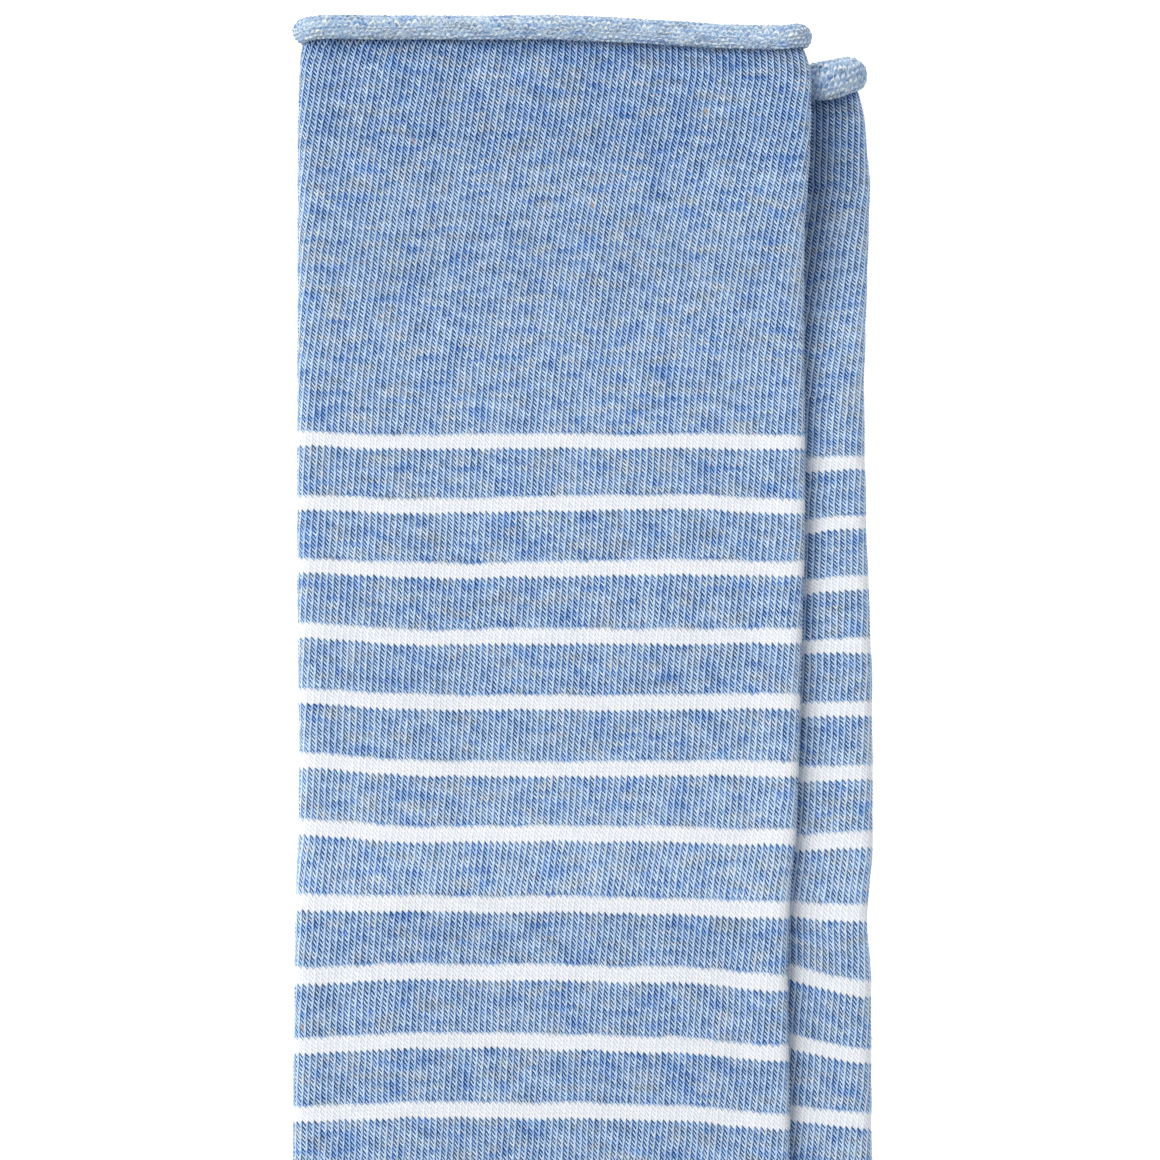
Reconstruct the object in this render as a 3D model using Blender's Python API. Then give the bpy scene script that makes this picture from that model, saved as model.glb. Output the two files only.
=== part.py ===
"""A pair of striped crew socks with rolled edges, lying flat in profile, one sock on the other.

Each sock is one knitted tube, a wall round a narrow hollow that is open at the mouth and closed at
the toe. The edge of the tube curls outwards into a roll of its own cloth. The layout has x to the
right across the legs and y up them, with y = 0 level with the top of the front sock's roll. The whole
pair is then centred on its own box, with its underside at z = 0.
"""

import math
from collections import namedtuple

import bmesh
import bpy
import numpy as np

MM = 0.001

# Sizes of the cloth. Every size below is in millimetres.
WALL = 1.1  # one layer of knitted cloth
LAYER_GAP = 0.3  # between the two panels of a flat sock
HALF_THICKNESS = WALL + LAYER_GAP / 2
FOLD_RADIUS = 1.6  # half the height of the soft loop along a side fold
FOLD_REACH = 7.0  # how far in from the fold a panel starts to rise to that loop
CLEARANCE = 0.3  # between pieces that touch
DRAPE_CLEARANCE = 0.5  # the same between the socks, before smoothing takes some of it
BEND_RADIUS = 80.0  # how tightly a flat sock bends over what it lies on
EASING = 4  # how many cells each way the height map is smoothed over
DIP_POWER = 3.5  # how near the folds a course of stitches dips

# Sizes of the foot, the same on both socks.
INSTEP_RADIUS = 16.0  # inside the turn from leg to foot
TURN = math.radians(65)  # how far the foot turns from the leg's line
HEEL_SWELL = 12.0  # how far the heel stands out past a plain turn
FOOT_LENGTH = 92.0  # from the end of the turn to the start of the toe
TOE_LENGTH = 46.0
TOE_POWER = 2.4  # 2 is a round toe, and more is squarer

# Sizes of the rolled edge.
ROLL_RADIUS = 1.5  # outer half turn, at the middle of the cloth
OPENED_ROLL_RADIUS = 2.3  # the same where the back sock's roll has sprung open, at its right-hand fold
ROLL_TIGHTENING = 0.75  # how much smaller the next half turn is
MOUTH_SLOPE_LENGTH = 1.5  # the stretch of leg under the roll
MOUTH_LIFT_LENGTH = 34.0  # how far the leg takes to come down from the roll under it

# Left and right are the leg's folds, and the dips say how far the course of stitches at that height
# falls there, compared with the middle of the leg.
LegRow = namedtuple("LegRow", "down left right left_dip right_dip")
FRONT_LEG = [
    LegRow(2.1, -39.0, 38.5, 0.4, 2.0),
    LegRow(3.6, -40.0, 39.8, 0.4, 1.9),
    LegRow(5.4, -40.7, 40.5, 0.2, 1.6),
    LegRow(8.5, -41.0, 41.1, 0.0, 1.1),
    LegRow(30.0, -41.2, 40.5, -0.2, 0.6),
    LegRow(68.0, -41.0, 40.3, -0.35, 0.15),
    LegRow(99.0, -41.0, 39.8, -0.9, -0.2),
    LegRow(121.0, -40.8, 39.3, -1.5, 0.0),
    LegRow(131.0, -40.9, 38.9, -1.0, 0.6),
    LegRow(142.0, -41.5, 37.8, -0.3, 0.9),
    LegRow(153.0, -41.7, 37.5, 0.6, 1.4),
    LegRow(190.0, -42.0, 37.6, 0.7, 1.7),
]
BACK_LEG = [
    LegRow(11.2, -29.4, 45.6, 0.4, -1.6),
    LegRow(12.7, -30.4, 47.3, 0.4, -1.6),
    LegRow(14.5, -31.0, 48.8, 0.3, -1.5),
    LegRow(18.0, -31.4, 50.0, 0.1, -1.2),
    LegRow(29.0, -31.5, 50.8, 0.0, -0.9),
    LegRow(61.0, -31.6, 50.0, 0.0, -0.9),
    LegRow(106.0, -30.2, 51.1, 0.0, -0.3),
    LegRow(136.0, -29.0, 51.3, 0.0, -0.4),
    LegRow(142.5, -28.8, 50.4, 0.3, 0.8),
    LegRow(151.0, -28.7, 50.8, 0.6, 2.3),
    LegRow(166.0, -28.6, 51.0, 0.7, 2.7),
    LegRow(192.0, -28.6, 51.1, 0.7, 1.7),
]

# A ring of cloth is two flat panels joined by two folds. Shares run from fold to fold.
PANEL_SHARES = (-1, -0.92, -0.83, -0.73, -0.62, -0.45, 0, 0.45, 0.62, 0.73, 0.83, 0.92, 1)
FOLD_ANGLES = (60, 30, 0, -30, -60)

# Where rings lie: close together under the roll, where the leg bends, and further apart below.
MOUTH_STEPS = (1.5, 3.3, 5.5, 8.5, 11.5, 15.0, 19.0, 23.5, 28.5, 34.0, 42.0, 52.0)
LEG_STEPS = (64.0, 77.0, 90.0, 104.0, 118.0, 132.0, 146.0, 160.0, 174.0)
TURN_STEPS = 8
FOOT_STEPS = 6
TOE_STEPS = 7

# The height map, which is how one sock feels the other under it.
CELL = 1.0
MAP_MARGIN = 45  # cells
DRAPE_REACH = 42  # cells, beyond which a bend has come down past the floor

BLUE = (0.262, 0.379, 0.552, 1)
PALE_BLUE = (0.380, 0.492, 0.637, 1)

Column = namedtuple("Column", "share angle top")
Frame = namedtuple("Frame", "point along out")
Section = namedtuple("Section", "centre across ahead half_width left_dip right_dip height")


def clear_scene():
    for obj in list(bpy.data.objects):
        bpy.data.objects.remove(obj)


def cloth_material(name, colour):
    material = bpy.data.materials.new(name)
    material.use_nodes = True
    shader = material.node_tree.nodes["Principled BSDF"]
    shader.inputs["Base Color"].default_value = colour
    shader.inputs["Roughness"].default_value = 0.92
    shader.inputs["Metallic"].default_value = 0.0
    return material


def smooth_step(x):
    x = np.clip(x, 0, 1)
    return x * x * (3 - 2 * x)


def leg_row(leg, down):
    """The leg's table at any height."""
    downs = [row.down for row in leg]
    return LegRow(*(float(np.interp(down, downs, column)) for column in zip(*leg)))


# The line of a sock, from its mouth down the leg, round the heel and along the foot to the toe.
def leg_section(leg, down):
    row = leg_row(leg, down)
    centre = np.array([(row.left + row.right) / 2, -down])
    half_width = (row.right - row.left) / 2
    return Section(centre, *turned(0), half_width, row.left_dip, row.right_dip, 1.0)


def turned(angle):
    """The directions across and along a sock that has turned this far."""
    across = np.array([math.cos(angle), -math.sin(angle)])
    ahead = np.array([-math.sin(angle), -math.cos(angle)])
    return across, ahead


def turn_section(leg, share):
    ankle = leg[-1]
    pivot = np.array([ankle.left - INSTEP_RADIUS, -ankle.down])
    across, ahead = turned(share * TURN)
    swell = HEEL_SWELL * math.sin(math.pi * share) ** 2
    inner, outer = INSTEP_RADIUS, INSTEP_RADIUS + ankle.right - ankle.left + swell
    fade = 1 - smooth_step(2 * share)
    dips = ankle.left_dip * fade, ankle.right_dip * fade
    return Section(pivot + across * (inner + outer) / 2, across, ahead, (outer - inner) / 2, *dips, 1.0)


def foot_section(leg, distance):
    start = turn_section(leg, 1)
    return start._replace(centre=start.centre + start.ahead * distance)


def toe_section(leg, share, inset):
    """Share is 0 at the start of the toe and 1 at its tip. The tip of the hollow is inset from the cloth's."""
    start = foot_section(leg, FOOT_LENGTH)
    reach = TOE_LENGTH - inset
    half_width = inset + (start.half_width - inset) * (1 - share**TOE_POWER) ** (1 / TOE_POWER)
    to_tip = reach * (1 - share)
    tip_radius = FOLD_RADIUS - inset
    height = math.sqrt(1 - (1 - min(to_tip / tip_radius, 1)) ** 2)
    return start._replace(centre=start.centre + start.ahead * reach * share, half_width=half_width, height=height)


def sections_of(leg, inset, downs, turn_steps, foot_steps, toe_steps):
    sections = [leg_section(leg, down) for down in downs]
    sections += [turn_section(leg, i / turn_steps) for i in range(turn_steps)]
    sections += [foot_section(leg, FOOT_LENGTH * i / foot_steps) for i in range(foot_steps)]
    for i in range(toe_steps + 1):
        share = math.sin(math.pi / 2 * i / (toe_steps + 0.35))
        sections.append(toe_section(leg, share, inset))
    return sections


# The rings of cloth round a flat sock.
def ring_columns(panel_shares=PANEL_SHARES, fold_angles=FOLD_ANGLES):
    """The points round a ring: over the top panel from left to right, and back under it."""
    columns = [Column(share, None, True) for share in panel_shares]
    columns += [Column(1, math.radians(angle), None) for angle in fold_angles]
    columns += [Column(share, None, False) for share in reversed(panel_shares)]
    columns += [Column(-1, math.radians(angle), None) for angle in reversed(fold_angles)]
    return columns


def ring_points(section, columns, inset, base):
    """One ring, inset from the outer surface. base(x, y) is the height of what the sock lies on."""
    straight = section.half_width - FOLD_RADIUS
    points = []
    for column in columns:
        across = column.share * straight
        if column.angle is not None:
            across += column.share * (FOLD_RADIUS - inset) * math.cos(column.angle)
        share = min(max(across / section.half_width, -1), 1)
        dip = (section.left_dip if share < 0 else section.right_dip) * abs(share) ** DIP_POWER
        plan = section.centre + section.across * across + section.ahead * dip
        rise = smooth_step((abs(across) - straight + FOLD_REACH) / FOLD_REACH)
        half = HALF_THICKNESS + (FOLD_RADIUS - HALF_THICKNESS) * rise
        if column.angle is None:
            level = (half - inset) * (1 if column.top else -1)
        else:
            level = (FOLD_RADIUS - inset) * math.sin(column.angle)
        points.append((plan[0], plan[1], half + level * section.height))
    points = np.array(points)
    points[:, 2] += base(points[:, 0], points[:, 1])
    return points


def mouth_frames(leg, base, columns):
    """For each column at the mouth, the middle of the cloth, the way on past it and the way out of the sock."""
    mouth, below = (
        ring_points(leg_section(leg, leg[0].down + step), columns, WALL / 2, base)
        for step in (0, MOUTH_SLOPE_LENGTH)
    )
    frames = []
    for k, point in enumerate(mouth):
        along = point - below[k]
        across = mouth[(k + 1) % len(columns)] - mouth[k - 1]
        out = np.cross(across, along)
        along = np.cross(out, across)
        frames.append(Frame(point, along / np.linalg.norm(along), out / np.linalg.norm(out)))
    return frames


def mouth_lift(leg):
    """The height of a sock's underside on a flat surface: the roll under its mouth holds the leg up there."""
    def base(x, y):
        below = (-y - leg[0].down) / MOUTH_LIFT_LENGTH
        return 2 * ROLL_RADIUS * (1 - smooth_step(below))
    return base


def draped_over(points):
    """The height of cloth that lies on these points and can't bend more tightly than BEND_RADIUS."""
    corner = points[:, :2].min(axis=0) - MAP_MARGIN * CELL
    cells = np.round((points[:, :2] - corner) / CELL).astype(int)
    heights = np.full(cells.max(axis=0) + MAP_MARGIN, -np.inf)
    np.maximum.at(heights, (cells[:, 0], cells[:, 1]), points[:, 2])
    for axis in (0, 1):
        heights = np.max([
            np.roll(heights, step, axis) - (step * CELL) ** 2 / (2 * BEND_RADIUS)
            for step in range(-DRAPE_REACH, DRAPE_REACH + 1)
        ], axis=0)
    heights = np.maximum(heights + DRAPE_CLEARANCE, 0)
    for axis in (0, 1, 0, 1):
        heights = np.mean([np.roll(heights, step, axis) for step in range(-EASING, EASING + 1)], axis=0)

    def base(x, y):
        i, in_x = np.divmod((x - corner[0]) / CELL, 1)
        j, in_y = np.divmod((y - corner[1]) / CELL, 1)
        i, j = i.astype(int), j.astype(int)
        near = heights[i, j] * (1 - in_x) + heights[i + 1, j] * in_x
        far = heights[i, j + 1] * (1 - in_x) + heights[i + 1, j + 1] * in_x
        return near * (1 - in_y) + far * in_y
    return base


# The tube: an outer and an inner skin, joined round the mouth and each closed at the toe.
def quad(bm, verts, panel_is_top):
    """A face whose diagonal runs the same way on both panels, so that they never cross."""
    a, b, c, d = verts
    return bm.faces.new((a, b, c, d) if panel_is_top else (b, c, d, a))


def skin(bm, rings, columns, outward):
    """The faces along one skin of the tube, and the ring of points at its mouth."""
    verts = [[bm.verts.new(point * MM) for point in ring] for ring in rings]
    count = len(columns)
    for near, far in zip(verts, verts[1:]):
        for k in range(count):
            n = (k + 1) % count
            face = quad(bm, (near[k], near[n], far[n], far[k]), columns[k].top is not False)
            if not outward:
                face.normal_flip()
    cap = bm.faces.new(verts[-1])
    if not outward:
        cap.normal_flip()
    return verts[0]


def knitted_tube(name, leg, base, material):
    columns = ring_columns()
    frames = mouth_frames(leg, base, columns)
    downs = [leg[0].down + step for step in MOUTH_STEPS + LEG_STEPS]
    bm = bmesh.new()
    mouths = []
    for inset in (0, WALL):
        sections = sections_of(leg, inset, downs, TURN_STEPS, FOOT_STEPS, TOE_STEPS)
        rim = [f.point - f.along * CLEARANCE / 2 + f.out * (WALL / 2 - inset) for f in frames]
        rings = [rim] + [ring_points(section, columns, inset, base) for section in sections]
        mouths.append(skin(bm, rings, columns, inset == 0))
    outer, inner = mouths
    for k in range(len(columns)):
        n = (k + 1) % len(columns)
        bm.faces.new((outer[n], outer[k], inner[k], inner[n]))
    return finished(name, bm, material)


# The rolled edge: one full turn of cloth, carried round the mouth.
def roll_section(radius):
    """The outline of the rolled cloth as (along, out) points: along the leg past its mouth, and out from it."""
    line = []
    for i in range(11):
        angle = 2 * math.pi * i / 10
        tightened = angle > math.pi
        r = radius - ROLL_TIGHTENING if tightened else radius
        centre = radius + (radius - r)
        ray = np.array([math.sin(angle), -math.cos(angle)])
        line.append((np.array([CLEARANCE / 2, centre]) + ray * r, ray))
    outer = [point + ray * WALL / 2 for point, ray in line]
    inner = [point - ray * WALL / 2 for point, ray in reversed(line)]
    return outer + inner


def roll_radius(column, opened_radius):
    """The roll's radius at a column of the ring. It opens at the top of the right-hand fold."""
    if column.angle is not None:
        opened = (1 + math.sin(column.angle)) / 2 if column.share > 0 else 0
    else:
        opened = smooth_step((column.share - 0.7) / 0.25) if column.top else 0
    return ROLL_RADIUS + (opened_radius - ROLL_RADIUS) * opened


def roll_rings(leg, base, opened_radius, columns):
    """The outline of the rolled edge at each column of the mouth."""
    rings = []
    for column, frame in zip(columns, mouth_frames(leg, base, columns)):
        outline = roll_section(roll_radius(column, opened_radius))
        rings.append(np.array([frame.point + frame.along * a + frame.out * h for a, h in outline]))
    return rings


def rolled_edge(name, leg, base, opened_radius, material):
    bm = bmesh.new()
    rings = [
        [bm.verts.new(point * MM) for point in ring]
        for ring in roll_rings(leg, base, opened_radius, ring_columns())
    ]
    count = len(rings[0])
    for near, far in zip(rings, rings[1:] + rings[:1]):
        for k in range(count):
            n = (k + 1) % count
            bm.faces.new((near[k], near[n], far[n], far[k]))
    return finished(name, bm, material)


def finished(name, bm, material):
    bmesh.ops.recalc_face_normals(bm, faces=bm.faces)
    mesh = bpy.data.meshes.new(name)
    bm.to_mesh(mesh)
    bm.free()
    mesh.materials.append(material)
    mesh.shade_smooth()
    mesh.set_sharp_from_angle(angle=math.radians(50))
    return bpy.data.objects.new(name, mesh)


def upper_surface(leg, base, opened_radius):
    """Points all over the top of a sock and its roll, about a cell apart."""
    columns = ring_columns(tuple(np.linspace(-1, 1, 73)))
    downs = np.arange(leg[0].down, leg[-1].down, CELL)
    turn_steps = round(TURN * (INSTEP_RADIUS + leg[-1].right - leg[-1].left) / CELL)
    foot_steps, toe_steps = round(FOOT_LENGTH / CELL), round(TOE_LENGTH / CELL)
    sections = sections_of(leg, 0, downs, turn_steps, foot_steps, toe_steps)
    points = [ring_points(section, columns, 0, base) for section in sections]
    return np.concatenate(points + roll_rings(leg, base, opened_radius, columns))


def centre_pair(socks):
    """Puts the middle of the pair's box over the origin."""
    corners = np.array([vertex.co[:] for sock in socks for vertex in sock.data.vertices])
    middle = (corners.min(axis=0) + corners.max(axis=0)) / 2
    pair = bpy.data.objects.new("pair_of_socks", None)
    pair.location = (-middle[0], -middle[1], 0)
    for sock in socks:
        sock.parent = pair
    return pair


def main():
    clear_scene()
    blue = cloth_material("blue_knit", BLUE)
    pale = cloth_material("rolled_knit", PALE_BLUE)

    on_surface = mouth_lift(BACK_LEG)
    back_sock = knitted_tube("back_sock", BACK_LEG, on_surface, blue)
    back_roll = rolled_edge("back_rolled_edge", BACK_LEG, on_surface, OPENED_ROLL_RADIUS, pale)

    on_back_sock = draped_over(upper_surface(BACK_LEG, on_surface, OPENED_ROLL_RADIUS))
    front_sock = knitted_tube("front_sock", FRONT_LEG, on_back_sock, blue)
    front_roll = rolled_edge("front_rolled_edge", FRONT_LEG, on_back_sock, ROLL_RADIUS, pale)

    socks = [back_sock, back_roll, front_sock, front_roll]
    collection = bpy.data.collections.new("pair_of_socks")
    bpy.context.scene.collection.children.link(collection)
    for obj in [centre_pair(socks), *socks]:
        collection.objects.link(obj)


main()
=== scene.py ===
# %% [markdown]
# # A pair of striped socks with rolled edges
#
# Two fine-knit crew socks lie flat in profile, one on the other. Each is one knitted tube that turns at
# the heel and closes at the toe, and its raw edge curls outwards into a roll. This lesson gives the tubes
# and rolls of the CAD model their own thin cloth. Its wales and courses are numbered, so the stitches, the
# heather yarn and the stripes follow the cloth.
#
# The loading comes first, because every piece that follows takes the place of a CAD node.

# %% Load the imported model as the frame
import math
from collections import namedtuple

import bpy
import numpy as np
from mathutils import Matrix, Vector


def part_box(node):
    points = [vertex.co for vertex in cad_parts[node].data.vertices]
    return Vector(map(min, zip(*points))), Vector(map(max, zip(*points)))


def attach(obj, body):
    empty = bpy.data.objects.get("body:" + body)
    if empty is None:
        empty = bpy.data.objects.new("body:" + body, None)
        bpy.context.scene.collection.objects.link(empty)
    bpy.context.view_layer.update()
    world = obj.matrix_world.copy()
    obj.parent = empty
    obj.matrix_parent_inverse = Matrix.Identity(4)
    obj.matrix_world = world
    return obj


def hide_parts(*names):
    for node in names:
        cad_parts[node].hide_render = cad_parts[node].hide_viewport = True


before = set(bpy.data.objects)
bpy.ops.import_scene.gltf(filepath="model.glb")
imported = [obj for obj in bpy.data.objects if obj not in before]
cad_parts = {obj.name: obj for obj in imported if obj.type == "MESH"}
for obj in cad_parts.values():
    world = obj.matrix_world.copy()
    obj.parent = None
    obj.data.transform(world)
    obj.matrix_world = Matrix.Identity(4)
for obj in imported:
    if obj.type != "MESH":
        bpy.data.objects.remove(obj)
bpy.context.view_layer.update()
bpy.ops.object.select_all(action="DESELECT")
print("nodes:", sorted(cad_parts))

# %% [markdown]
# ## Sizes
#
# Each needle of a sock machine knits one column of stitches, called a wale. A row of stitches round the
# sock is a course. So the sizes are in millimetres for the form, and in wales and courses for the knitting.
# The form is the CAD solid's: x runs across the legs, y up them, and y = 0 is the top of the front roll.

# %% Sizes of the cloth, the foot and the roll
MM = 0.001
WALES = 168  # needles round the sock
LEG_WIDTH = 82  # lying flat
WALL = 1.1  # one layer of cloth
LAYER_GAP = 0.3  # between the two panels of a flat sock
HALF_THICKNESS = WALL + LAYER_GAP / 2
FOLD_RADIUS = 1.6  # half the height of the soft loop along a side fold
FOLD_REACH = 7.0  # how far in from the fold a panel starts to rise to that loop
CLEARANCE = 0.3  # between the tube and its roll

INSTEP_RADIUS = 16.0
TURN = math.radians(65)
HEEL_SWELL = 12.0
FOOT_LENGTH = 92.0
TOE_LENGTH = 46.0
TOE_POWER = 2.4  # 2 would make the toe an ellipse
FOOT_COURSE_HEIGHT = 0.68

ROLL_RADIUS = 1.5
OPENED_ROLL_RADIUS = 2.7
ROLL_TIGHTENING = 0.75
ROLL_SPREAD = 0.65  # how much further the second half turn lies down along the leg
MOUTH_SLOPE_LENGTH = 1.5
MOUTH_LIFT_LENGTH = 34.0
MOUTH_FALL_LENGTH = 40
FALL_REACH, FALL_POWER = 0.7, 1.2

STRIPE_REPEAT = 16  # courses
STRIPE_COURSES = 4  # of them in white
TURN_COURSES = 4 * STRIPE_REPEAT  # along the instep
FIRST_STRIPE = 108  # the course at the middle of the first stripe, counted from the mouth
WALE_WIDTH = 2 * LEG_WIDTH / WALES  # on the leg
RELAXED_LEAN = 3.9  # degrees, of the wales in the striped part
RELAX_START, RELAX_LENGTH = 22, 25  # above the first stripe, where the lean eases off
print("a wale is", round(WALE_WIDTH, 2), "mm wide, and a stripe is", STRIPE_COURSES, "courses high")

# %% [markdown]
# ## The legs as tables
#
# Washed cloth never lies quite straight, so each leg has two short tables. One gives the folds at its left
# and right. The other gives the stripes: how far below the top each lies, and how far its course dips at
# the left fold, half-way to it, half-way to the right fold and at it. The stripes are a ruler for the
# courses between them, because there are sixteen courses from one stripe to the next.

# %% The outline and the stripes of each leg
Edge = namedtuple("Edge", "down left right")
Stripe = namedtuple("Stripe", "down far_left left right far_right")
Sock = namedtuple("Sock", "name edges stripes mouth mouth_fall lean opened_radius seed")


def rows_of(kind, *lines):
    return [kind(*line) for line in lines]


FRONT = Sock(
    name="front",
    edges=rows_of(
        Edge,
        (2.6, -39.3, 38.4), (3.8, -40, 39.8), (5.4, -40.7, 40.5),
        (8.5, -41.1, 41.2), (19, -41.4, 41.1), (36, -41.5, 40.1),
        (68, -41.6, 40.3), (84, -41.6, 40.3), (99, -41.5, 39.8),
        (121, -41.3, 39.3), (131, -41.4, 38.9), (142, -41.8, 37.8),
        (153, -42, 37.5), (171, -42.2, 37.8), (190, -42.3, 37.9),
    ),
    stripes=rows_of(
        Stripe,
        (68.4, -0.3, 0.1, 0.1, 0.2), (78.6, -0.1, 0.3, -0.4, 0.6),
        (88.9, -0.4, 0.4, -0.2, 0.1), (99.9, -0.9, 0.1, 0, -0.3),
        (110.7, -1.2, -0.1, -0.2, -0.3), (121.3, -1.6, -0.2, -0.1, -0.1),
        (131.6, -1, 0.1, 0.2, 0.6), (143, -0.3, 0, 0.4, 1),
        (154.1, 0.6, -0.2, 0.4, 1.7), (165.1, 0.8, -0.2, 0.5, 1.9),
        (176.2, 0.7, -0.1, 0.5, 1.9),
    ),
    mouth=Stripe(2.6, 0, 0.1, 0, 0.3),
    mouth_fall=1.35,
    lean=7.8,
    opened_radius=ROLL_RADIUS,
    seed=3,
)
BACK = Sock(
    name="back",
    edges=rows_of(
        Edge,
        (12.4, -29.4, 46.2), (13.2, -30.4, 48.4), (14.8, -31, 49.1),
        (18, -31.4, 49.8), (29, -31.5, 50.8), (61, -31.6, 49.8),
        (84, -31, 50.2), (106, -30.2, 51.1), (135, -29, 51.3),
        (141.5, -28.8, 50.5), (147, -28.7, 50.3), (150, -28.7, 51),
        (166, -28.6, 51), (192, -28.6, 51.1),
    ),
    stripes=rows_of(
        Stripe,
        (72.9, 0, 0, 0, -1), (82.9, 0, 0.1, 0, -1.5),
        (92.9, 0, 0.1, 0, -1.7), (102.2, 0, 0, 0, -0.8),
        (112, 0, 0, 0, -0.4), (122.3, 0, 0, 0, -0.4),
        (133.6, 0, 0, 0, -1.1), (143.4, 0.3, 0, 0, 1.2),
        (152.9, 0.6, 0.1, 0, 4), (164.1, 0.7, 0.1, 0, 3.5),
        (176.2, 0.7, 0.1, 0, 1.9),
    ),
    mouth=Stripe(12.4, 0.4, 0.1, -0.2, -1.7),
    mouth_fall=0,
    lean=6.3,
    opened_radius=OPENED_ROLL_RADIUS,
    seed=11,
)
for sock in (FRONT, BACK):
    pitch = (sock.stripes[-1].down - sock.stripes[0].down) / (len(sock.stripes) - 1) / STRIPE_REPEAT
    print(sock.name, "sock: a striped course is", round(pitch, 3), "mm high")

# %% [markdown]
# ## The line of a sock
#
# A flat sock is a stack of cross sections along one line: straight down the leg, fanned round the instep
# to make the heel, and straight along the foot to the toe. A section knows its middle, which ways are
# across and ahead, its width, and how its course dips. So the wales run unbroken from mouth to toe.

# %% Sections along the leg, the turn, the foot and the toe
Section = namedtuple("Section", "centre across ahead half_width dips fall height course lean")


def unit(ways):
    """The same ways, each with the length 1."""
    return ways / np.linalg.norm(ways, axis=1)[:, None]


def smooth_step(x):
    x = np.clip(x, 0, 1)
    return x * x * (3 - 2 * x)


def read_row(rows, down):
    """A row of a table at any height, the first and last rows holding beyond its ends."""
    downs = [row.down for row in rows]
    return type(rows[0])(*(float(np.interp(down, downs, column)) for column in zip(*rows)))


def course_at(sock, down):
    """The number of courses from the mouth to this height."""
    downs = [sock.mouth.down] + [stripe.down for stripe in sock.stripes]
    courses = [0] + [FIRST_STRIPE + STRIPE_REPEAT * i for i in range(len(sock.stripes))]
    pitch = (downs[-1] - downs[-4]) / (courses[-1] - courses[-4])
    return float(np.interp(down, downs, courses)) + max(down - downs[-1], 0) / pitch


def lean_at(sock, down):
    """How many wales a column has moved to the left by this height. It leans most above the stripes."""
    steps = np.linspace(0, down, 200)
    relaxed = smooth_step((steps - sock.stripes[0].down + RELAX_START) / RELAX_LENGTH)
    degrees = sock.lean + (RELAXED_LEAN - sock.lean) * relaxed
    return float(np.trapz(np.tan(np.radians(degrees)), steps)) / WALE_WIDTH


def turned(angle):
    across = np.array([math.cos(angle), -math.sin(angle)])
    ahead = np.array([-math.sin(angle), -math.cos(angle)])
    return across, ahead


def leg_section(sock, down):
    edge = read_row(sock.edges, down)
    row = read_row([sock.mouth] + sock.stripes, down)
    dips = np.array([row.far_left, row.left, 0.0, row.right, row.far_right])
    fall = sock.mouth_fall * (1 - smooth_step((down - sock.mouth.down) / MOUTH_FALL_LENGTH))
    centre = np.array([(edge.left + edge.right) / 2, -down])
    half_width = (edge.right - edge.left) / 2
    course, lean = course_at(sock, down), lean_at(sock, down)
    return Section(centre, *turned(0), half_width, dips, fall, 1.0, course, lean)


def turn_section(sock, share):
    ankle = leg_section(sock, sock.edges[-1].down)
    pivot = ankle.centre - ankle.across * (ankle.half_width + INSTEP_RADIUS)
    across, ahead = turned(share * TURN)
    swell = HEEL_SWELL * math.sin(math.pi * share) ** 2
    inner, outer = INSTEP_RADIUS, INSTEP_RADIUS + 2 * ankle.half_width + swell
    fade = 1 - smooth_step(2 * share)
    centre = pivot + across * (inner + outer) / 2
    course, dips = ankle.course + TURN_COURSES * share, ankle.dips * fade
    return Section(centre, across, ahead, (outer - inner) / 2, dips, 0.0, 1.0, course, ankle.lean)


def foot_section(sock, distance):
    start = turn_section(sock, 1)
    return start._replace(
        centre=start.centre + start.ahead * distance,
        course=start.course + distance / FOOT_COURSE_HEIGHT,
    )


def toe_section(sock, share):
    start = foot_section(sock, FOOT_LENGTH)
    half_width = start.half_width * (1 - share**TOE_POWER) ** (1 / TOE_POWER)
    to_tip = TOE_LENGTH * (1 - share)
    height = math.sqrt(1 - (1 - min(to_tip / FOLD_RADIUS, 1)) ** 2)
    return start._replace(
        centre=start.centre + start.ahead * TOE_LENGTH * share,
        half_width=half_width,
        height=height,
        course=start.course + TOE_LENGTH * share / FOOT_COURSE_HEIGHT,
    )


print("the front sock has", round(toe_section(FRONT, 1).course), "courses from its mouth to its toe")

# %% [markdown]
# ## A ring of cloth
#
# Cut across, the flat sock is a long slim loop: two flat panels and two soft folds. A wale has its own
# place round that loop. The way round starts in the middle of the lower panel, where the seam of the mesh
# can't be seen, and goes up over the left fold, across the top and down the right fold.

# %% Points round a section
def glide(share, values):
    """A smooth line through values that are spread evenly from one fold to the other."""
    place = np.clip((share + 1) / 2 * (len(values) - 1), 0, len(values) - 1.001)
    step = place.astype(int)
    return values[step] + (values[step + 1] - values[step]) * smooth_step(place - step)


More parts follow.
